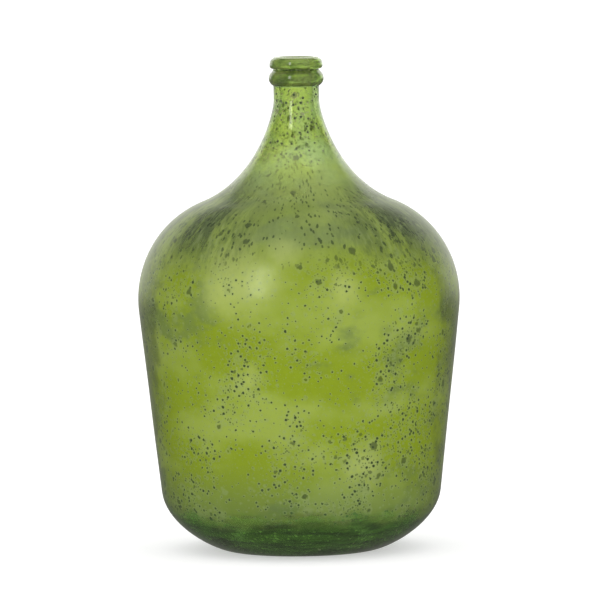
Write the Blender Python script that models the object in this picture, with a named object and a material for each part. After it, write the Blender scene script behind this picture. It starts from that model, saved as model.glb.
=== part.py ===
"""Green glass demijohn: a blown vessel with a laid-on neck collar and mouth lip.

Metres, +Z up. The origin is at the middle of the foot, on the surface that
the bottle stands on, and the axis of the bottle is the Z axis. Every piece is
turned about that axis from an outline of (radius, height) points.
"""
import math

import bmesh
import bpy
from mathutils import Vector

# Driving dimensions
HEIGHT = 0.674                 # foot to the top of the mouth
BODY_RADIUS = 0.220            # at the widest place
BELLY_HEIGHT = 0.345           # height of the widest place
SHOULDER_RADIUS = 0.1425       # bend of the shoulder, seen from the side
SHOULDER_TURN = math.radians(68)
NECK_RADIUS = 0.0312           # outside of the straight neck
NECK_FOOT_HEIGHT = 0.617       # where the flare becomes the straight neck
BORE_RADIUS = 0.0233           # inside of the neck, where a bung is seated

# Base
KICK_HEIGHT = 0.034            # how far the base is pushed up in the middle
KICK_CROWN = 0.040             # reach of the level middle of the push-up
KICK_SKIRT = (0.020, 0.014)    # run and rise of the push-up where it leaves the foot
FOOT_INNER_RADIUS = 0.080      # flat ring that the bottle stands on
FOOT_OUTER_RADIUS = 0.101
HEEL_RADIUS = 0.1913           # where the round heel meets the straight side
HEEL_HEIGHT = 0.0802

# How far each smooth bend of the outline follows the direction of its ends
HEEL_REACH_FOOT = 0.017
HEEL_REACH_SIDE = 0.048
FLARE_REACH_SHOULDER = 0.081
FLARE_REACH_NECK = 0.020

# Glass thickness at heights between the base and the neck
BASE_THICKNESS = 0.0085
HEEL_THICKNESS = 0.0060
WALL_THICKNESS = 0.0045
THIN_FROM = 0.16
THIN_TO = 0.47
NECK_THICKNESS = NECK_RADIUS - BORE_RADIUS

# Rim of the vessel
RIM_ROUND = 0.0025             # rounding of both edges of the rim

# Rings laid around the neck
RING_GAP = 0.0003              # between a ring and the neck that it sits on
RING_INNER_RADIUS = NECK_RADIUS + RING_GAP
LIP_RADIUS = 0.0363
LIP_BOTTOM = 0.6578
LIP_TOP = HEIGHT - 0.0018
LIP_BEAD = 0.0044              # rounding of the lip's lower edge
LIP_FACE_RISE = 0.0052         # how far the lip's face rises before it leans in
LIP_BROW = (0.0042, 0.0008)    # run and drop of the lip's face below its top edge
COLLAR_RADIUS = 0.0376
COLLAR_TOP = 0.6562
COLLAR_CREST_HEIGHT = 0.6446   # where the collar is widest
COLLAR_BOTTOM = 0.6345
COLLAR_TOP_LEDGE = 0.0009      # flat upper edge of the collar
COLLAR_CREST_ABOVE = 0.0070    # how far the round crest reaches above its middle
COLLAR_CREST_BELOW = 0.0048    # and below it
COLLAR_UPPER_SLOPE = (0.0034, 0.0040)
COLLAR_LOWER_SLOPE = (0.0030, 0.0012)

# Facets
SEGMENTS = 48                  # around the axis
KICK_STEPS = 5
HEEL_STEPS = 7
SHOULDER_STEPS = 9
FLARE_STEPS = 9
RIM_STEPS = 2
LIP_BEAD_STEPS = 3
LIP_FACE_STEPS = 6
COLLAR_LOWER_STEPS = 5
COLLAR_UPPER_STEPS = 6
SMOOTH_BELOW = math.radians(35)

AXIS = Vector((0.0, 0.0, 1.0))
CENTRE = Vector((0.0, 0.0, 0.0))
MERGE = 0.00001


def arc(centre, radius, start, end, steps):
    """Points on a circular arc in the outline plane."""
    points = []
    for step in range(steps + 1):
        angle = start + (end - start) * step / steps
        points.append(Vector((
            centre[0] + radius * math.cos(angle),
            centre[1] + radius * math.sin(angle),
        )))
    return points


def bend(start, pull_start, pull_end, end, steps):
    """Points on a cubic Bezier curve in the outline plane."""
    start, pull_start, pull_end, end = map(Vector, (start, pull_start, pull_end, end))
    points = []
    for step in range(steps + 1):
        t = step / steps
        s = 1.0 - t
        points.append(s**3 * start + 3*s*s*t * pull_start + 3*s*t*t * pull_end + t**3 * end)
    return points


def joined(*runs):
    """One outline from several runs, without repeating shared ends."""
    outline = []
    for run in runs:
        for point in run:
            point = Vector(point)
            if not outline or (point - outline[-1]).length > MERGE:
                outline.append(point)
    return outline


def side_lean():
    """Angle by which the straight side leans outwards, tangent to the shoulder."""
    away = Vector((BODY_RADIUS - SHOULDER_RADIUS - HEEL_RADIUS, BELLY_HEIGHT - HEEL_HEIGHT))
    return math.atan2(away.x, away.y) + math.asin(SHOULDER_RADIUS / away.length)


def outer_outline():
    """Outside of the vessel from the middle of the base to the top of the neck."""
    lean = side_lean()
    up_side = Vector((math.sin(lean), math.cos(lean)))
    kick = bend(
        (0.0, KICK_HEIGHT),
        (KICK_CROWN, KICK_HEIGHT),
        (FOOT_INNER_RADIUS - KICK_SKIRT[0], KICK_SKIRT[1]),
        (FOOT_INNER_RADIUS, 0.0),
        KICK_STEPS,
    )
    heel_top = Vector((HEEL_RADIUS, HEEL_HEIGHT))
    heel = bend(
        (FOOT_OUTER_RADIUS, 0.0),
        (FOOT_OUTER_RADIUS + HEEL_REACH_FOOT, 0.0),
        heel_top - HEEL_REACH_SIDE * up_side,
        heel_top,
        HEEL_STEPS,
    )
    shoulder_centre = (BODY_RADIUS - SHOULDER_RADIUS, BELLY_HEIGHT)
    shoulder = arc(shoulder_centre, SHOULDER_RADIUS, -lean, SHOULDER_TURN, SHOULDER_STEPS)
    along_slope = Vector((-math.sin(SHOULDER_TURN), math.cos(SHOULDER_TURN)))
    flare = bend(
        shoulder[-1],
        shoulder[-1] + FLARE_REACH_SHOULDER * along_slope,
        (NECK_RADIUS, NECK_FOOT_HEIGHT - FLARE_REACH_NECK),
        (NECK_RADIUS, NECK_FOOT_HEIGHT),
        FLARE_STEPS,
    )
    return joined(kick, heel, shoulder, flare)


def thickness(height):
    """Glass thickness at a height, thick in the base and neck and thin between."""
    stations = [
        (0.0, BASE_THICKNESS),
        (HEEL_HEIGHT, HEEL_THICKNESS),
        (THIN_FROM, WALL_THICKNESS),
        (THIN_TO, WALL_THICKNESS),
        (NECK_FOOT_HEIGHT, NECK_THICKNESS),
    ]
    for (low, thick_low), (high, thick_high) in zip(stations, stations[1:]):
        if height <= high:
            share = (height - low) / (high - low)
            return thick_low + share * (thick_high - thick_low)
    return NECK_THICKNESS


def inner_outline(outer):
    """Inside of the vessel: the outer outline moved in by the glass thickness."""
    inner = []
    last = len(outer) - 1
    for index, point in enumerate(outer):
        along = (outer[min(index + 1, last)] - outer[max(index - 1, 0)]).normalized()
        if index == 0:
            along = Vector((1.0, 0.0))
        if index == last:
            along = Vector((0.0, 1.0))
        inward = Vector((-along.y, along.x))
        on_base = point.x < FOOT_OUTER_RADIUS + MERGE and point.y < HEEL_HEIGHT
        depth = BASE_THICKNESS if on_base else thickness(point.y)
        inner.append(point + depth * inward)
    return inner


def rim_outline():
    """Rounded rim from the outside of the neck, over its flat top, to the bore."""
    low = HEIGHT - RIM_ROUND
    outside = arc((NECK_RADIUS - RIM_ROUND, low), RIM_ROUND, 0.0, math.pi / 2, RIM_STEPS)
    inside = arc((BORE_RADIUS + RIM_ROUND, low), RIM_ROUND, math.pi / 2, math.pi, RIM_STEPS)
    return joined(outside, inside)


def lip_outline():
    """Mouth lip: a bead at its lower edge and a face that leans in to the rim."""
    bead_centre = (LIP_RADIUS - LIP_BEAD, LIP_BOTTOM + LIP_BEAD)
    bead = arc(bead_centre, LIP_BEAD, -math.pi / 2, 0.0, LIP_BEAD_STEPS)
    face = bend(
        bead[-1],
        bead[-1] + Vector((0.0, LIP_FACE_RISE)),
        (RING_INNER_RADIUS + LIP_BROW[0], LIP_TOP - LIP_BROW[1]),
        (RING_INNER_RADIUS, LIP_TOP),
        LIP_FACE_STEPS,
    )
    return joined([(RING_INNER_RADIUS, LIP_BOTTOM)], bead, face)


def collar_outline():
    """Neck collar: a long upper slope, a round crest and a short lower slope."""
    lower = bend(
        (RING_INNER_RADIUS, COLLAR_BOTTOM),
        (RING_INNER_RADIUS + COLLAR_LOWER_SLOPE[0], COLLAR_BOTTOM + COLLAR_LOWER_SLOPE[1]),
        (COLLAR_RADIUS, COLLAR_CREST_HEIGHT - COLLAR_CREST_BELOW),
        (COLLAR_RADIUS, COLLAR_CREST_HEIGHT),
        COLLAR_LOWER_STEPS,
    )
    upper = bend(
        (COLLAR_RADIUS, COLLAR_CREST_HEIGHT),
        (COLLAR_RADIUS, COLLAR_CREST_HEIGHT + COLLAR_CREST_ABOVE),
        (RING_INNER_RADIUS + COLLAR_UPPER_SLOPE[0], COLLAR_TOP - COLLAR_UPPER_SLOPE[1]),
        (RING_INNER_RADIUS + COLLAR_TOP_LEDGE, COLLAR_TOP),
        COLLAR_UPPER_STEPS,
    )
    return joined(lower, upper, [(RING_INNER_RADIUS, COLLAR_TOP)])


def turned(name, outline, ring, material):
    """Closed body turned about Z from an outline; a ring's outline is a loop."""
    mesh = bpy.data.meshes.new(name)
    work = bmesh.new()
    verts = [work.verts.new((point.x, 0.0, point.y)) for point in outline]
    ends = verts[1:] + verts[:1] if ring else verts[1:]
    edges = [work.edges.new(pair) for pair in zip(verts, ends)]
    bmesh.ops.spin(work, geom=verts + edges, axis=AXIS, cent=CENTRE,
                   angle=2 * math.pi, steps=SEGMENTS, use_merge=True)
    bmesh.ops.remove_doubles(work, verts=work.verts, dist=MERGE)
    bmesh.ops.recalc_face_normals(work, faces=work.faces)
    work.to_mesh(mesh)
    work.free()
    mesh.shade_smooth()
    mesh.set_sharp_from_angle(angle=SMOOTH_BELOW)
    mesh.materials.append(material)
    piece = bpy.data.objects.new(name, mesh)
    bpy.context.scene.collection.objects.link(piece)
    return piece


def green_glass(name, colour, roughness):
    """Green glass with a soft, slightly frosted surface."""
    material = bpy.data.materials.new(name)
    material.use_nodes = True
    shader = material.node_tree.nodes["Principled BSDF"]
    shader.inputs["Base Color"].default_value = (*colour, 1.0)
    shader.inputs["Roughness"].default_value = roughness
    shader.inputs["Metallic"].default_value = 0.0
    shader.inputs["IOR"].default_value = 1.5
    return material


def glass_body():
    """The blown vessel: base, side, shoulder and neck, open at the mouth."""
    outer = outer_outline()
    inner = inner_outline(outer)
    outline = joined(outer, rim_outline(), reversed(inner))
    colour = (0.24, 0.36, 0.03)
    return turned("glass_body", outline, False, green_glass("body_glass", colour, 0.25))


def mouth_lip():
    """The ring of glass laid around the top of the neck."""
    colour = (0.20, 0.31, 0.04)
    return turned("mouth_lip", lip_outline(), True, green_glass("lip_glass", colour, 0.15))


def neck_collar():
    """The ring of glass laid around the neck below the lip."""
    colour = (0.20, 0.31, 0.04)
    return turned("neck_collar", collar_outline(), True, green_glass("collar_glass", colour, 0.15))


def main():
    for leftover in list(bpy.data.objects):
        bpy.data.objects.remove(leftover, do_unlink=True)
    glass_body()
    mouth_lip()
    neck_collar()


main()
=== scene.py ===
"""Looks of the green glass demijohn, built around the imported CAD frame.

Three pieces stand for the three CAD nodes: the blown vessel, the neck collar
and the mouth lip. Each is turned about Z from the outline that its CAD node
has, with finer steps, and the vessel has the slight waviness of blown glass.
Metres, +Z up.
"""
import math

import bmesh
import bpy
from mathutils import Matrix, Vector, noise

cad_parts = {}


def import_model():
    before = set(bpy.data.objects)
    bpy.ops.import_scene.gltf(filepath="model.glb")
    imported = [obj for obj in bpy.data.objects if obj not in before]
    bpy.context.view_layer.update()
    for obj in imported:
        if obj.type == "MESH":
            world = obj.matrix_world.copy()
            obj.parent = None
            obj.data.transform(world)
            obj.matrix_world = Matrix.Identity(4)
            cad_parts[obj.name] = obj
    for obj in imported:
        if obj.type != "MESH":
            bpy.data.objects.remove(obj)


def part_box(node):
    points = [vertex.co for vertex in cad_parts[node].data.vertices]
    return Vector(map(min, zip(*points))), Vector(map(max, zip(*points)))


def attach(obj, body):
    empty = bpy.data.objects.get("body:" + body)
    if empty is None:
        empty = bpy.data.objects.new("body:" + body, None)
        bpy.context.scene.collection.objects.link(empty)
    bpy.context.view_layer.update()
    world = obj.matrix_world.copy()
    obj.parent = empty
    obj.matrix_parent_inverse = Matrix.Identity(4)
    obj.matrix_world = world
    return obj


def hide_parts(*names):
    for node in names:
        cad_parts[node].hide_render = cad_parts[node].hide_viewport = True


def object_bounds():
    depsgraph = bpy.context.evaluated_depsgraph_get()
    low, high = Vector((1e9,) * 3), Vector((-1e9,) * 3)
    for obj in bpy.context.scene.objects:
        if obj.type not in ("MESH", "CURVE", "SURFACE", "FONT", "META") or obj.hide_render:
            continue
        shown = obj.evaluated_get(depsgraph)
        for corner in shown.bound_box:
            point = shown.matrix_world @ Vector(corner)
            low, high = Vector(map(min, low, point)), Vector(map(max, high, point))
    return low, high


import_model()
CAD_LOW, CAD_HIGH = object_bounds()

# ---------------------------------------------------------------- dimensions

HEIGHT = CAD_HIGH.z
LIP_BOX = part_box("mouth_lip")
COLLAR_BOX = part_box("neck_collar")

BODY_RADIUS = 0.220
BELLY_HEIGHT = 0.345
SHOULDER_RADIUS = 0.1425
SHOULDER_TURN = math.radians(68)
NECK_RADIUS = 0.0312
NECK_FOOT_HEIGHT = 0.617
BORE_RADIUS = 0.0233

KICK_HEIGHT = 0.034
KICK_CROWN = 0.040
KICK_SKIRT = (0.020, 0.014)
FOOT_INNER_RADIUS = 0.080
FOOT_OUTER_RADIUS = 0.101
HEEL_RADIUS = 0.1913
HEEL_HEIGHT = 0.0802
HEEL_REACH_FOOT = 0.017
HEEL_REACH_SIDE = 0.048
FLARE_REACH_SHOULDER = 0.081
FLARE_REACH_NECK = 0.020

BASE_THICKNESS = 0.0085
HEEL_THICKNESS = 0.0060
WALL_THICKNESS = 0.0045
THIN_FROM = 0.16
THIN_TO = 0.47
NECK_THICKNESS = NECK_RADIUS - BORE_RADIUS

RIM_ROUND = 0.0025
RING_OVERLAP = 0.0002          # the rings are fused to the neck
RING_INNER_RADIUS = NECK_RADIUS - RING_OVERLAP
LIP_RADIUS = 0.0363
LIP_BOTTOM = LIP_BOX[0][2]
LIP_TOP = LIP_BOX[1][2]
LIP_BEAD = 0.0044
LIP_FACE_RISE = 0.0052
LIP_BROW = (0.0042, 0.0008)
COLLAR_RADIUS = 0.0376
COLLAR_TOP = COLLAR_BOX[1][2]
COLLAR_BOTTOM = COLLAR_BOX[0][2]
COLLAR_CREST_HEIGHT = 0.6446
COLLAR_TOP_LEDGE = 0.0009
COLLAR_CREST_ABOVE = 0.0070
COLLAR_CREST_BELOW = 0.0048
COLLAR_UPPER_SLOPE = (0.0034, 0.0040)
COLLAR_LOWER_SLOPE = (0.0030, 0.0012)

SEGMENTS = 192
MERGE = 0.00001
WAVE_HEIGHT = 0.0005           # waviness of the vessel, in or out
WAVE_SIZE = 0.11
WAVE_PLACE = 3.0
RING_SHOWS_AT_LIP = 0.002      # bands of the neck beside a ring's edge that still show
RING_SHOWS_AT_COLLAR = 0.001

# ------------------------------------------------------------------ outlines


def arc(centre, radius, start, end, steps):
    """Points on a circular arc in the outline plane."""
    points = []
    for step in range(steps + 1):
        angle = start + (end - start) * step / steps
        points.append(Vector((
            centre[0] + radius * math.cos(angle),
            centre[1] + radius * math.sin(angle),
        )))
    return points


def bend(start, pull_start, pull_end, end, steps):
    """Points on a cubic Bezier curve in the outline plane."""
    start, pull_start, pull_end, end = map(Vector, (start, pull_start, pull_end, end))
    points = []
    for step in range(steps + 1):
        t = step / steps
        s = 1.0 - t
        points.append(s**3 * start + 3*s*s*t * pull_start + 3*s*t*t * pull_end + t**3 * end)
    return points


def straight(start, end, steps):
    """Points on a straight run, both ends included."""
    start, end = Vector(start), Vector(end)
    return [start.lerp(end, step / steps) for step in range(steps + 1)]


def joined(*runs):
    """One outline from several runs, without repeating shared ends."""
    outline = []
    for run in runs:
        for point in run:
            point = Vector(point)
            if not outline or (point - outline[-1]).length > MERGE:
                outline.append(point)
    return outline


def side_lean():
    """Angle by which the straight side leans outwards, tangent to the shoulder."""
    away = Vector((BODY_RADIUS - SHOULDER_RADIUS - HEEL_RADIUS, BELLY_HEIGHT - HEEL_HEIGHT))
    return math.atan2(away.x, away.y) + math.asin(SHOULDER_RADIUS / away.length)


def outer_outline():
    """Outside of the vessel from the middle of the base to the foot of the neck."""
    lean = side_lean()
    up_side = Vector((math.sin(lean), math.cos(lean)))
    kick = bend(
        (0.0, KICK_HEIGHT),
        (KICK_CROWN, KICK_HEIGHT),
        (FOOT_INNER_RADIUS - KICK_SKIRT[0], KICK_SKIRT[1]),
        (FOOT_INNER_RADIUS, 0.0),
        14,
    )
    foot = straight((FOOT_INNER_RADIUS, 0.0), (FOOT_OUTER_RADIUS, 0.0), 4)
    heel_top = Vector((HEEL_RADIUS, HEEL_HEIGHT))
    heel = bend(
        (FOOT_OUTER_RADIUS, 0.0),
        (FOOT_OUTER_RADIUS + HEEL_REACH_FOOT, 0.0),
        heel_top - HEEL_REACH_SIDE * up_side,
        heel_top,
        20,
    )
    shoulder_centre = (BODY_RADIUS - SHOULDER_RADIUS, BELLY_HEIGHT)
    shoulder = arc(shoulder_centre, SHOULDER_RADIUS, -lean, SHOULDER_TURN, 40)
    side = straight(heel_top, shoulder[0], 30)
    along_slope = Vector((-math.sin(SHOULDER_TURN), math.cos(SHOULDER_TURN)))
    flare = bend(
        shoulder[-1],
        shoulder[-1] + FLARE_REACH_SHOULDER * along_slope,
        (NECK_RADIUS, NECK_FOOT_HEIGHT - FLARE_REACH_NECK),
        (NECK_RADIUS, NECK_FOOT_HEIGHT),
        44,
    )
    neck = straight(flare[-1], (NECK_RADIUS, HEIGHT - RIM_ROUND - 0.001), 10)
    return joined(kick, foot, heel, side, shoulder, flare, neck)


def thickness(height):
    """Glass thickness at a height, thick in the base and neck and thin between."""
    stations = [
        (0.0, BASE_THICKNESS),
        (HEEL_HEIGHT, HEEL_THICKNESS),
        (THIN_FROM, WALL_THICKNESS),
        (THIN_TO, WALL_THICKNESS),
        (NECK_FOOT_HEIGHT, NECK_THICKNESS),
    ]
    for (low, thick_low), (high, thick_high) in zip(stations, stations[1:]):
        if height <= high:
            share = (height - low) / (high - low)
            return thick_low + share * (thick_high - thick_low)
    return NECK_THICKNESS


def inner_outline(outer):
    """Inside of the vessel: the outer outline moved in by the glass thickness."""
    inner = []
    last = len(outer) - 1
    for index, point in enumerate(outer):
        along = (outer[min(index + 1, last)] - outer[max(index - 1, 0)]).normalized()
        if index == 0:
            along = Vector((1.0, 0.0))
        inward = Vector((-along.y, along.x))
        on_base = point.x < FOOT_OUTER_RADIUS + MERGE and point.y < HEEL_HEIGHT
        depth = BASE_THICKNESS if on_base else thickness(point.y)
        inner.append(point + depth * inward)
    return inner


def rim_outline():
    """Rounded rim from the outside of the neck, over its flat top, to the bore."""
    low = HEIGHT - RIM_ROUND
    outside = arc((NECK_RADIUS - RIM_ROUND, low), RIM_ROUND, 0.0, math.pi / 2, 7)
    inside = arc((BORE_RADIUS + RIM_ROUND, low), RIM_ROUND, math.pi / 2, math.pi, 7)
    return joined(outside, inside)


def lip_outline():
    """Mouth lip: a bead at its lower edge and a face that leans in to the rim."""
    bead_centre = (LIP_RADIUS - LIP_BEAD, LIP_BOTTOM + LIP_BEAD)
    bead = arc(bead_centre, LIP_BEAD, -math.pi / 2, 0.0, 8)
    face = bend(
        bead[-1],
        bead[-1] + Vector((0.0, LIP_FACE_RISE)),
        (RING_INNER_RADIUS + LIP_BROW[0], LIP_TOP - LIP_BROW[1]),
        (RING_INNER_RADIUS, LIP_TOP),
        16,
    )
    return joined([(RING_INNER_RADIUS, LIP_BOTTOM)], bead, face)


def collar_outline():
    """Neck collar: a long upper slope, a round crest and a short lower slope."""
    lower = bend(
        (RING_INNER_RADIUS, COLLAR_BOTTOM),
        (RING_INNER_RADIUS + COLLAR_LOWER_SLOPE[0], COLLAR_BOTTOM + COLLAR_LOWER_SLOPE[1]),
        (COLLAR_RADIUS, COLLAR_CREST_HEIGHT - COLLAR_CREST_BELOW),
        (COLLAR_RADIUS, COLLAR_CREST_HEIGHT),
        12,
    )
    upper = bend(
        (COLLAR_RADIUS, COLLAR_CREST_HEIGHT),
        (COLLAR_RADIUS, COLLAR_CREST_HEIGHT + COLLAR_CREST_ABOVE),
        (RING_INNER_RADIUS + COLLAR_UPPER_SLOPE[0], COLLAR_TOP - COLLAR_UPPER_SLOPE[1]),
        (RING_INNER_RADIUS + COLLAR_TOP_LEDGE, COLLAR_TOP),
        14,
    )
    return joined(lower, upper, [(RING_INNER_RADIUS, COLLAR_TOP)])


# -------------------------------------------------------------------- meshes


def turned(name, outline, ring):
    """Closed body turned about Z from an outline; a ring's outline is a loop.

    Faces are made row by row along the outline, SEGMENTS in each row.
    """
    mesh = bpy.data.meshes.new(name)
    work = bmesh.new()
    rows = []
    for point in outline:
        if point.x < MERGE:
            rows.append([work.verts.new((0.0, 0.0, point.y))] * SEGMENTS)
            continue
        row = []
        for step in range(SEGMENTS):
            angle = 2 * math.pi * step / SEGMENTS
            row.append(work.verts.new((point.x * math.cos(angle), point.x * math.sin(angle), point.y)))
        rows.append(row)
    pairs = list(zip(rows, rows[1:]))
    if ring:
        pairs.append((rows[-1], rows[0]))
    for low, high in pairs:
        for step in range(SEGMENTS):
            after = (step + 1) % SEGMENTS
            corners = [low[step], low[after], high[after], high[step]]
            work.faces.new(list(dict.fromkeys(corners)))
    bmesh.ops.recalc_face_normals(work, faces=work.faces)
    work.to_mesh(mesh)
    work.free()
    mesh.shade_smooth()
    piece = bpy.data.objects.new(name, mesh)
    bpy.context.scene.collection.objects.link(piece)
    return piece


def blown_wave(piece):
    """Slight waviness of blown glass: each point moves a little in or out from the axis."""
    for vert in piece.data.vertices:
        place = vert.co / WAVE_SIZE + Vector((WAVE_PLACE, 0.0, 0.0))
        flat = Vector((vert.co.x, vert.co.y, 0.0))
        if flat.length > MERGE:
            vert.co += WAVE_HEIGHT * noise.noise(place) * flat.normalized()


def mark_coated(piece, outside_rows):
    """Face attribute: 1 on the outside of the glass and 0 inside and under the rings.

    The shader reads it, so that both sides of the wall share one material. A wall
    with two materials would never end its absorption.
    """
    coated = piece.data.attributes.new("coated", "FLOAT", "FACE")
    for polygon in piece.data.polygons:
        height = polygon.center.z
        under_lip = LIP_BOTTOM < height < LIP_TOP - RING_SHOWS_AT_LIP
        under_collar = COLLAR_BOTTOM + RING_SHOWS_AT_COLLAR < height < COLLAR_TOP
        outside = polygon.index // SEGMENTS < outside_rows or height > HEIGHT - RIM_ROUND
        coated.data[polygon.index].value = float(outside and not (under_lip or under_collar))


def vessel():
    """The blown vessel: base, side, shoulder and neck, open at the mouth."""
    outer = outer_outline()
    inner = inner_outline(outer)
    outline = joined(outer, rim_outline(), reversed(inner))
    piece = turned("demijohn_vessel", outline, False)
    blown_wave(piece)
    mark_coated(piece, len(outer) - 1)
    piece.data.materials.append(coated_glass())
    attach(piece, "root")
    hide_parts("glass_body")
    return piece


def lip():
    """The ring of glass laid around the top of the neck."""
    piece = turned("demijohn_lip", lip_outline(), True)
    piece.data.materials.append(ring_glass("lip_glass", 0.2))
    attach(piece, "root")
    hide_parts("mouth_lip")
    return piece


def collar():
    """The ring of glass laid around the neck below the lip."""
    piece = turned("demijohn_collar", collar_outline(), True)
    piece.data.materials.append(ring_glass("collar_glass", 0.5))
    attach(piece, "root")
    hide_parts("neck_collar")
    return piece


# ----------------------------------------------------------------- materials


class Graph:
    """Short ways to add nodes to a material."""

    def __init__(self, name):
        self.material = bpy.data.materials.new(name)
        self.material.use_nodes = True
        self.tree = self.material.node_tree
        self.shader = self.tree.nodes["Principled BSDF"]
        self.output = self.tree.nodes["Material Output"]

    def put(self, socket, value):
        """Link a socket to an output, or set its value."""
        if isinstance(value, bpy.types.NodeSocket):
            self.tree.links.new(value, socket)
        else:
            socket.default_value = value

    def add(self, kind, inputs=None, **settings):
        """New node with its inputs and settings."""
        node = self.tree.nodes.new(kind)
        for key, value in settings.items():
            setattr(node, key, value)
        for key, value in (inputs or {}).items():
            self.put(node.inputs[key], value)
        return node

    def math(self, operation, first, second=0.0, third=0.0):
        """Result of a Math node."""
        node = self.add("ShaderNodeMath", {0: first, 1: second, 2: third}, operation=operation)
        return node.outputs[0]

    def step(self, value, low, high, out_low=0.0, out_high=1.0):
        """Smooth change from out_low at low to out_high at high."""
        node = self.add(
            "ShaderNodeMapRange",
            {"Value": value, "From Min": low, "From Max": high, "To Min": out_low, "To Max": out_high},
            interpolation_type="SMOOTHSTEP",
        )
        return node.outputs["Result"]

    def vector(self, operation, first, second):
        """Result of a Vector Math node with two vectors."""
        node = self.add("ShaderNodeVectorMath", {0: first, 1: second}, operation=operation)
        return node.outputs[0]

    def scaled(self, vector, factor):
        """A vector times a number."""
        node = self.add("ShaderNodeVectorMath", {0: vector, "Scale": factor}, operation="SCALE")
        return node.outputs[0]

    def measure(self, operation, first, second=(0.0, 0.0, 0.0)):
        """A length or distance."""
        node = self.add("ShaderNodeVectorMath", {0: first, 1: second}, operation=operation)
        return node.outputs["Value"]

    def blend(self, factor, first, second):
        """Colour mix."""
        node = self.add("ShaderNodeMix", data_type="RGBA")
        self.put(node.inputs["Factor"], factor)
        self.put(node.inputs["A"], first)
        self.put(node.inputs["B"], second)
        return node.outputs["Result"]

    def most(self, first, second):
        """The larger of two values."""
        return self.math("MAXIMUM", first, second)

    def times(self, first, second):
        """Product of two values."""
        return self.math("MULTIPLY", first, second)

    def noise(self, place, scale, detail=2.0, roughness=0.5, offset=0.0):
        """Noise node; each offset gives another pattern of the same kind."""
        moved = self.vector("ADD", place, (offset, offset, offset))
        node = self.add(
            "ShaderNodeTexNoise",
            {"Vector": moved, "Scale": scale, "Detail": detail, "Roughness": roughness},
        )
        return node

    def cells(self, place, scale):
        """Distance from the centre of the nearest cell."""
        node = self.add("ShaderNodeTexVoronoi", {"Vector": place, "Scale": scale})
        return node.outputs["Distance"]

    def warped(self, place, scale, amount):
        """Place moved about by a noise, in metres."""
        colour = self.noise(place, scale).outputs["Color"]
        centred = self.vector("SUBTRACT", colour, (0.5, 0.5, 0.5))
        return self.vector("ADD", place, self.scaled(centred, amount))

    def relief(self, height, depth):
        """Raised and sunken places, depth metres from the lowest to the highest."""
        bump = self.add("ShaderNodeBump", {"Height": height, "Distance": depth})
        self.put(self.shader.inputs["Normal"], bump.outputs["Normal"])

    def absorb(self, colour, density):
        """Glass that takes light away on its way through."""
        volume = self.add("ShaderNodeVolumeAbsorption", {"Color": (*colour, 1.0), "Density": density})
        self.tree.links.new(volume.outputs[0], self.output.inputs["Volume"])


# The glass itself
GLASS_COLOUR = (0.40, 0.70, 0.26)
GLASS_DENSITY = 40.0
RIPPLE_DEPTH = 0.0006
# Near white of the inner faces: clear glass where light passes, and a painted reflection inside the
# mouth, where the film makes them opaque
INSIDE = (0.95, 1.0, 0.95, 1.0)

# The coat on the side and the shoulder
SATURATED = (0.43, 0.54, 0.008, 1.0)
PALE = (0.57, 0.68, 0.12, 1.0)
GREY_GREEN = (0.22, 0.29, 0.12, 1.0)
# Milky clouds, and on the upper left a painted highlight
MILKY_AND_HIGHLIGHT = (0.76, 0.84, 0.26, 1.0)
# Painted shade: olive for the darker flanks
PAINTED_SHADE_OLIVE = (0.130, 0.155, 0.055, 1.0)
SMEAR = (0.100, 0.130, 0.080, 1.0)
SPECK = (0.042, 0.062, 0.032, 1.0)
# Pale green: halos round specks, fine grain and haze, and the painted reflection streaks on the
# shoulder
HALO_AND_REFLECTION = (0.50, 0.58, 0.30, 1.0)

# The neck, the rings and the mouth
NECK = (0.96, 0.97, 0.26, 1.0)
NECK_GREY = (0.90, 0.94, 0.54, 1.0)
RING_GREEN = (0.57, 0.72, 0.17, 1.0)
RING_DARK = (0.26, 0.38, 0.08, 1.0)
WORN = (0.62, 0.70, 0.46, 1.0)
# Height where the painted reflection inside the mouth begins
MOUTH_REFLECTION_FROM = 0.660
RIM_WORN = (HEIGHT - 0.0030, HEIGHT - 0.0008)

# The base
BASE_GREEN = (0.14, 0.29, 0.060, 1.0)
BASE_GREY = (0.075, 0.125, 0.050, 1.0)
# Painted highlight along the upper edge of the base
PAINTED_HIGHLIGHT_EMERALD = (0.20, 0.50, 0.08, 1.0)
CHIP = (0.50, 0.52, 0.34, 1.0)

# Centre and reach of each milky patch: the first, large one on the upper left of the front is a
# painted highlight of a soft light, the others are milky clouds of the coat
MILKY_CLOUDS_AND_HIGHLIGHT = (
    ((-0.085, -0.19, 0.385), 0.080),
    ((-0.075, -0.21, 0.245), 0.040),
    ((0.060, -0.20, 0.370), 0.040),
    ((0.090, -0.19, 0.130), 0.045),
    ((-0.020, -0.20, 0.430), 0.035),
    ((0.150, 0.14, 0.330), 0.060),
    ((-0.160, 0.12, 0.220), 0.050),
)


def glass_basics(graph):
    """What all glass here shares."""
    graph.shader.inputs["IOR"].default_value = 1.5
    graph.shader.inputs["Metallic"].default_value = 0.0
    graph.absorb(GLASS_COLOUR, GLASS_DENSITY)


def specks(graph, place, scale, radius, size):
    """Round specks: how much of each point is speck, and how much is pale halo.

    Size multiplies the radius and stays above 0.
    """
    ratio = graph.math("DIVIDE", graph.cells(place, scale), graph.times(size, radius))
    core = graph.step(ratio, 1.1, 0.7)
    halo = graph.times(graph.step(ratio, 2.2, 1.3), graph.step(ratio, 0.9, 1.2))
    return core, halo


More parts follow.
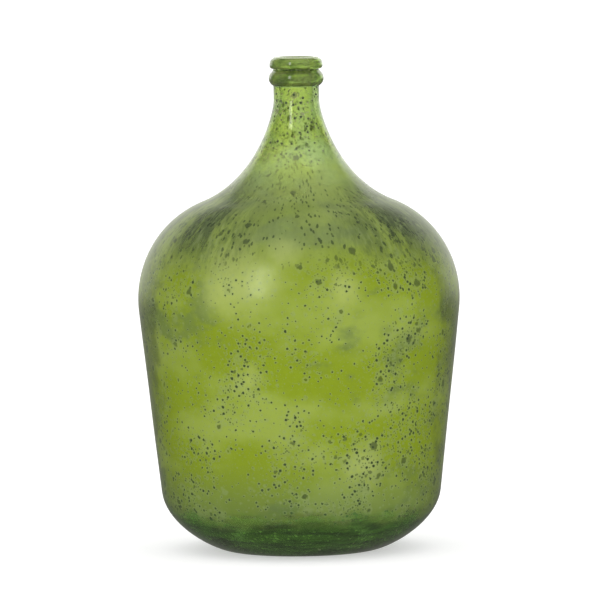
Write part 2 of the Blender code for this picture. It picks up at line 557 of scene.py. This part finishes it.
def along_meridians(graph, place, stretch):
    """Coordinates that run round the axis and up the glass, stretched upwards."""
    height = graph.add("ShaderNodeSeparateXYZ", {0: place}).outputs["Z"]
    flat = graph.vector("MULTIPLY", place, (1.0, 1.0, 0.0))
    around = graph.add("ShaderNodeVectorMath", {0: flat}, operation="NORMALIZE").outputs[0]
    climb = graph.math("SUBTRACT", height, graph.measure("LENGTH", flat))
    rise = graph.add("ShaderNodeCombineXYZ", {"Z": graph.math("DIVIDE", climb, stretch)})
    return graph.vector("ADD", graph.scaled(around, 0.2), rise.outputs[0])


def clouds(graph, place, height):
    """Ground colour of the coat: soft patches of saturated, milky and grey green, greyer towards the
    bottom; the large milky patch on the upper left is a painted highlight.
    """
    flat = graph.vector("MULTIPLY", place, (1.0, 1.0, 1.7))
    cloud = graph.noise(flat, 6.0, 3.0, 0.55).outputs["Fac"]
    colour = graph.blend(graph.step(cloud, 0.46, 0.66), SATURATED, PALE)
    grey = graph.noise(flat, 9.0, 4.0, 0.6, 7.0).outputs["Fac"]
    colour = graph.blend(graph.step(grey, 0.53, 0.68, 0.0, 0.7), colour, GREY_GREEN)
    grain = graph.noise(place, 230.0, 3.0, 0.7).outputs["Fac"]
    colour = graph.blend(graph.step(grain, 0.56, 0.74, 0.0, 0.45), colour, HALO_AND_REFLECTION)
    colour = graph.blend(graph.step(height, 0.15, 0.06, 0.0, 0.6), colour, GREY_GREEN)
    # Milky patches: the large one on the upper left is a painted highlight
    for centre, reach in MILKY_CLOUDS_AND_HIGHLIGHT:
        patch = graph.times(soft_patch(graph, place, centre, reach), 0.9)
        colour = graph.blend(patch, colour, MILKY_AND_HIGHLIGHT)
    return colour


def soft_patch(graph, place, centre, reach):
    """One cloud around a centre, with a ragged soft edge."""
    away = graph.measure("DISTANCE", place, centre)
    ragged = graph.noise(place, 22.0, 3.0, 0.6, 1.0).outputs["Fac"]
    away = graph.math("MULTIPLY_ADD", ragged, 0.9 * reach, away)
    return graph.step(away, 1.45 * reach, 0.55 * reach)


def neck_colour(graph, place):
    """Ground colour of the neck: yellow green with paler clouds."""
    tint = graph.noise(place, 21.0, 4.0, 0.6, 12.0).outputs["Fac"]
    return graph.blend(graph.step(tint, 0.40, 0.60), NECK, NECK_GREY)


def painted_flank_shade(graph, place, side):
    """Painted shade in olive blotches, nearly all of it on the two flanks: how much of each point is
    shaded.
    """
    blotch = graph.noise(graph.warped(place, 26.0, 0.03), 17.0, 5.0, 0.68, 11.0).outputs["Fac"]
    flank_shade = graph.math("ADD", blotch, graph.step(side, 0.13, 0.21, -0.40, 0.08))
    return graph.step(flank_shade, 0.45, 0.66)


def shoulder_smear(graph, place, streaky, side, height):
    """Dark smears and their fine grain, drawn out along the meridians of the shoulder, and pale
    streaks in that grain, a painted reflection that grows towards the flanks.
    """
    band = graph.times(graph.step(height, 0.37, 0.46), graph.step(height, 0.55, 0.48))
    band = graph.times(band, graph.step(side, 0.03, 0.13, 0.15, 1.0))
    broad = graph.noise(streaky, 24.0, 4.0, 0.62, 2.0).outputs["Fac"]
    patchy = graph.noise(place, 9.0, 1.0, 0.5, 5.0).outputs["Fac"]
    smear = graph.math("MULTIPLY_ADD", patchy, 0.7, graph.math("SUBTRACT", broad, 0.35))
    smear = graph.times(graph.step(smear, 0.34, 0.56), band)
    grain = graph.noise(graph.warped(streaky, 60.0, 0.012), 150.0, 3.0, 0.7, 4.0).outputs["Fac"]
    fine = graph.times(graph.step(grain, 0.50, 0.60), band)
    # Pale streaks: painted reflection, stronger towards the flanks
    pale = graph.times(graph.step(grain, 0.46, 0.38), band)
    return smear, fine, pale


def coat_specks(graph, place, height):
    """All specks of the coat: round on the sides, drawn out on the shoulder."""
    crowd = graph.noise(place, 11.0, 2.0, 0.6, 3.0).outputs["Fac"]
    crowd = graph.math("ADD", crowd, graph.step(height, 0.50, 0.58, 0.0, 0.07))
    shaken = graph.warped(place, 420.0, 0.0022)
    small = specks(graph, shaken, 122.0, 0.24, graph.step(crowd, 0.30, 0.64, 0.45, 1.15))
    fine = specks(graph, shaken, 210.0, 0.25, graph.step(crowd, 0.40, 0.60, 0.3, 1.1))
    ragged = graph.warped(place, 130.0, 0.008)
    medium = specks(graph, ragged, 60.0, 0.17, graph.step(crowd, 0.40, 0.62, 0.1, 1.1))
    large = specks(graph, ragged, 33.0, 0.16, graph.step(crowd, 0.36, 0.60, 0.4, 1.2))
    drawn = along_meridians(graph, graph.warped(place, 90.0, 0.006), 2.4)
    drawn = specks(graph, drawn, 130.0, 0.27, graph.step(crowd, 0.3, 0.6, 0.5, 1.15))

    shoulder = graph.times(graph.step(height, 0.38, 0.43), graph.step(height, 0.56, 0.50))
    elsewhere = graph.math("SUBTRACT", 1.0, shoulder)
    core = graph.times(graph.most(small[0], graph.times(fine[0], 0.7)), elsewhere)
    core = graph.most(core, graph.times(drawn[0], graph.times(shoulder, 0.85)))
    core = graph.most(core, graph.times(medium[0], 0.65))
    core = graph.most(core, graph.times(large[0], 0.75))
    halo = graph.most(small[1], graph.most(fine[1], large[1]))
    return core, graph.times(halo, elsewhere)


def base_streaks(graph, place, height):
    """Deep green of the thick base: level streaks, a painted highlight of bright emerald along its
    upper edge for the lit inner edge of the base, and a few pale chips.
    """
    flat = graph.vector("MULTIPLY", place, (1.0, 1.0, 7.0))
    streak = graph.noise(flat, 16.0, 4.0, 0.65, 8.0).outputs["Fac"]
    colour = graph.blend(graph.step(streak, 0.42, 0.62), BASE_GREEN, BASE_GREY)
    # Painted highlight: a ragged band of bright emerald along the upper edge of the base
    edge = graph.times(graph.step(height, 0.050, 0.060), graph.step(streak, 0.62, 0.48))
    colour = graph.blend(graph.times(edge, 0.8), colour, PAINTED_HIGHLIGHT_EMERALD)
    gate = graph.noise(place, 14.0, 1.0, 0.5, 4.0).outputs["Fac"]
    sizes = graph.step(gate, 0.50, 0.60, 0.05, 1.0)
    chip = specks(graph, graph.warped(place, 160.0, 0.006), 75.0, 0.17, sizes)[0]
    return graph.blend(chip, colour, CHIP)


def coated_glass():
    """Both sides of the vessel's wall: frosted and speckled outside, clear inside."""
    graph = Graph("speckled_glass")
    glass_basics(graph)
    shader = graph.shader

    # Where each point is. Height and side are in metres, and the rest runs from 0 to 1.
    place = graph.add("ShaderNodeTexCoord").outputs["Object"]
    split = graph.add("ShaderNodeSeparateXYZ", {0: place})
    height = split.outputs["Z"]
    side = graph.math("ABSOLUTE", split.outputs["X"])
    outside = graph.add("ShaderNodeAttribute", attribute_name="coated").outputs["Fac"]
    inside = graph.math("SUBTRACT", 1.0, outside)
    base_edge = graph.noise(place, 24.0, 3.0, 0.6, 6.0).outputs["Fac"]
    base_edge = graph.math("MULTIPLY_ADD", base_edge, 0.05, height)
    above_base = graph.step(base_edge, 0.064, 0.096)
    body_edge = graph.noise(place, 16.0, 3.0, 0.6, 9.0).outputs["Fac"]
    body_edge = graph.math("MULTIPLY_ADD", body_edge, 0.10, height)
    body = graph.step(body_edge, 0.61, 0.51)
    worn_rim = graph.step(height, *RIM_WORN)
    # Inside of the mouth, made opaque and near white: a painted reflection
    mouth_painted_reflection = graph.times(inside, graph.step(height, MOUTH_REFLECTION_FROM, HEIGHT))

    # Colour, from the ground up to the specks
    flank_shade = painted_flank_shade(graph, place, side)
    haze = graph.times(graph.step(height, 0.39, 0.45, 0.0, 0.45), graph.step(height, 0.56, 0.50))
    streaky = along_meridians(graph, place, 4.0)
    smear, fine, pale = shoulder_smear(graph, place, streaky, side, height)
    core, halo = coat_specks(graph, place, height)
    colour = graph.blend(body, neck_colour(graph, place), clouds(graph, place, height))
    # Painted shade on the flanks, in olive blotches
    colour = graph.blend(graph.times(graph.times(flank_shade, body), 0.6), colour, PAINTED_SHADE_OLIVE)
    colour = graph.blend(haze, colour, HALO_AND_REFLECTION)
    colour = graph.blend(graph.times(smear, 0.85), colour, SMEAR)
    colour = graph.blend(graph.times(fine, 0.6), colour, SMEAR)
    # Pale streaks on the shoulder: painted reflection
    colour = graph.blend(graph.times(pale, 0.45), colour, HALO_AND_REFLECTION)
    colour = graph.blend(graph.times(halo, 0.40), colour, HALO_AND_REFLECTION)
    colour = graph.blend(core, colour, SPECK)
    colour = graph.blend(above_base, base_streaks(graph, place, height), colour)
    colour = graph.blend(inside, colour, INSIDE)
    graph.put(shader.inputs["Base Color"], graph.blend(worn_rim, colour, WORN))

    # Frost, which fades on the neck and on the base
    frost = graph.math("MULTIPLY_ADD", graph.times(body, above_base), 0.15, 0.06)
    graph.put(shader.inputs["Roughness"], graph.math("ADD", graph.times(outside, frost), 0.05))

    # Opaque film: thin over the body, thick in specks and smears, at the rubbed rim, and inside the
    # mouth, where the opaque near-white inner faces are a painted reflection
    film = graph.times(body, graph.math("MULTIPLY_ADD", above_base, 0.20, 0.28))
    film = graph.most(film, graph.most(graph.times(core, 0.85), graph.times(smear, 0.6)))
    rim_wear_and_mouth_reflection = graph.times(graph.most(worn_rim, mouth_painted_reflection), 0.7)
    film = graph.most(graph.times(film, outside), rim_wear_and_mouth_reflection)
    graph.put(shader.inputs["Transmission Weight"], graph.math("SUBTRACT", 1.0, film))

    # Thin dull veil, which darkens the glass where it is seen at a slant
    bore = graph.times(inside, graph.step(height, 0.50, 0.57))
    bore = graph.times(bore, graph.step(height, MOUTH_REFLECTION_FROM, HEIGHT, 1.0, 0.0))
    veil = graph.times(outside, graph.math("MULTIPLY_ADD", body, 0.7, 0.3))
    graph.put(shader.inputs["Coat Weight"], graph.most(veil, bore))
    shader.inputs["Coat IOR"].default_value = 1.05
    shader.inputs["Coat Roughness"].default_value = 0.3
    shader.inputs["Coat Tint"].default_value = (0.78, 0.80, 0.72, 1.0)
    shader.inputs["Sheen Weight"].default_value = 0.1
    shader.inputs["Sheen Roughness"].default_value = 0.25

    ripple = graph.noise(place, 45.0, 2.0, 0.5, 13.0).outputs["Fac"]
    grain = graph.noise(place, 300.0, 2.0).outputs["Fac"]
    graph.relief(graph.math("MULTIPLY_ADD", grain, 0.06, ripple), RIPPLE_DEPTH)
    return graph.material


def ring_glass(name, speck_share):
    """Olive green glass of the laid-on rings, mostly clear, mottled and speckled."""
    graph = Graph(name)
    glass_basics(graph)
    shader = graph.shader
    place = graph.add("ShaderNodeTexCoord").outputs["Object"]
    mottle = graph.noise(place, 60.0, 3.0, 0.6).outputs["Fac"]
    sizes = graph.step(graph.noise(place, 40.0).outputs["Fac"], 0.35, 0.6, 0.4, 1.2)
    core, halo = specks(graph, graph.warped(place, 300.0, 0.003), 190.0, 0.27, sizes)
    core = graph.times(core, speck_share)
    colour = graph.blend(graph.step(mottle, 0.42, 0.66), RING_GREEN, RING_DARK)
    colour = graph.blend(graph.times(halo, 0.4), colour, HALO_AND_REFLECTION)
    graph.put(shader.inputs["Base Color"], graph.blend(core, colour, SPECK))
    graph.put(shader.inputs["Roughness"], graph.step(mottle, 0.3, 0.7, 0.04, 0.14))
    graph.put(shader.inputs["Transmission Weight"], graph.math("MULTIPLY_ADD", core, -0.4, 0.80))
    graph.relief(mottle, RIPPLE_DEPTH)
    return graph.material


# -------------------------------------------------------------------- studio

WHITE_STRENGTH = 1.25

# White light on the floor plus its own glow equals the world's white, so that
# the floor's far edge doesn't show through the glass.
FLOOR_RADIUS = 70.0
FLOOR_GREY = 0.62
FLOOR_GLOW = WHITE_STRENGTH * (1.0 - FLOOR_GREY)

# What the gloss of the glass sees: bright in a window behind the bottle, from just
# under the horizon to well above it, and dull elsewhere. Each entry is an axis of
# the direction, where it is still dull and where it is bright.
GLOSS_DULL = 0.2
GLOSS_BRIGHT = 1.6
GLOSS_WINDOW = (("Y", 0.45, 0.80), ("Z", 0.60, 0.40), ("Z", -0.15, 0.05))

SOFTBOX_AZIMUTH = math.radians(-28)
SOFTBOX_ELEVATION = math.radians(25)
SOFTBOX_DISTANCE = 3.0
SOFTBOX_SIZE = (0.55, 1.7)
SOFTBOX_POWER = 17.0

CAMERA_PLACE = (0.0, -8.91, 1.04)
CAMERA_AIM = (0.0014, 0.0, 0.341)
CAMERA_ROLL = math.radians(-0.72)
CAMERA_LENS = 392.0
CAMERA_SENSOR = 36.0


def floor():
    """Pale round floor, plain and far wider than the view."""
    bpy.ops.mesh.primitive_circle_add(vertices=128, radius=FLOOR_RADIUS, fill_type="NGON")
    piece = bpy.context.object
    piece.name = "studio_floor"
    graph = Graph("pale_floor")
    graph.put(graph.shader.inputs["Base Color"], (FLOOR_GREY, FLOOR_GREY, FLOOR_GREY, 1.0))
    graph.put(graph.shader.inputs["Roughness"], 0.9)
    graph.put(graph.shader.inputs["Specular IOR Level"], 0.0)
    graph.put(graph.shader.inputs["Emission Color"], (1.0, 1.0, 1.0, 1.0))
    graph.put(graph.shader.inputs["Emission Strength"], FLOOR_GLOW)
    piece.data.materials.append(graph.material)
    piece.visible_glossy = False


def gloss_window(tree):
    """Strength of the world by direction, as the gloss of the glass sees it."""
    direction = tree.nodes.new("ShaderNodeTexCoord")
    split = tree.nodes.new("ShaderNodeSeparateXYZ")
    tree.links.new(direction.outputs["Generated"], split.inputs[0])
    bright = tree.nodes.new("ShaderNodeValue")
    bright.outputs[0].default_value = GLOSS_BRIGHT
    strength = bright.outputs[0]
    for axis, dull, clear in GLOSS_WINDOW:
        fade = tree.nodes.new("ShaderNodeMapRange")
        fade.interpolation_type = "SMOOTHSTEP"
        fade.inputs["From Min"].default_value = dull
        fade.inputs["From Max"].default_value = clear
        fade.inputs["To Min"].default_value = GLOSS_DULL
        tree.links.new(strength, fade.inputs["To Max"])
        tree.links.new(split.outputs[axis], fade.inputs["Value"])
        strength = fade.outputs["Result"]
    return strength


def world():
    """White studio, with a world of its own for mirrored rays."""
    made = bpy.data.worlds.new("studio")
    made.use_nodes = True
    tree = made.node_tree
    background = tree.nodes["Background"]
    path = tree.nodes.new("ShaderNodeLightPath")
    mirrored = tree.nodes.new("ShaderNodeMath")
    mirrored.operation = "MULTIPLY"
    tree.links.new(path.outputs["Is Glossy Ray"], mirrored.inputs[0])
    tree.links.new(path.outputs["Is Reflection Ray"], mirrored.inputs[1])
    choice = tree.nodes.new("ShaderNodeMix")
    tree.links.new(mirrored.outputs[0], choice.inputs["Factor"])
    choice.inputs["A"].default_value = WHITE_STRENGTH
    tree.links.new(gloss_window(tree), choice.inputs["B"])
    background.inputs["Color"].default_value = (1.0, 1.0, 1.0, 1.0)
    tree.links.new(choice.outputs["Result"], background.inputs["Strength"])
    made.cycles.sampling_method = "NONE"
    bpy.context.scene.world = made


def softbox():
    """A soft upright light that faces the middle of the bottle and shows as its highlight."""
    light = bpy.data.lights.new("strip_softbox", "AREA")
    light.shape = "RECTANGLE"
    light.size = SOFTBOX_SIZE[0]
    light.size_y = SOFTBOX_SIZE[1]
    light.energy = SOFTBOX_POWER
    piece = bpy.data.objects.new("strip_softbox", light)
    piece.visible_diffuse = False
    away = Vector((
        math.sin(SOFTBOX_AZIMUTH) * math.cos(SOFTBOX_ELEVATION),
        -math.cos(SOFTBOX_AZIMUTH) * math.cos(SOFTBOX_ELEVATION),
        math.sin(SOFTBOX_ELEVATION),
    ))
    target = Vector((0.0, 0.0, HEIGHT / 2))
    piece.location = target + SOFTBOX_DISTANCE * away
    piece.rotation_euler = away.to_track_quat("Z", "Y").to_euler()
    bpy.context.scene.collection.objects.link(piece)


def camera():
    """Long lens in front of the bottle, a little above it and rolled a little."""
    made = bpy.data.cameras.new("camera")
    made.lens = CAMERA_LENS
    made.sensor_width = CAMERA_SENSOR
    made.clip_end = 4.0 * FLOOR_RADIUS
    piece = bpy.data.objects.new("camera", made)
    piece.location = CAMERA_PLACE
    away = Vector(CAMERA_PLACE) - Vector(CAMERA_AIM)
    turn = away.to_track_quat("Z", "Y").to_matrix().to_4x4()
    piece.rotation_euler = (turn @ Matrix.Rotation(CAMERA_ROLL, 4, "Z")).to_euler()
    bpy.context.scene.collection.objects.link(piece)
    bpy.context.scene.camera = piece


def light_paths():
    """Enough bounces for rays that cross both walls of the bottle and its thick neck."""
    settings = bpy.context.scene.cycles
    settings.glossy_bounces = 10
    settings.transmission_bounces = 16
    settings.max_bounces = 20


camera()
vessel()
collar()
lip()
floor()
world()
softbox()
light_paths()
bpy.context.scene.view_settings.view_transform = "Standard"
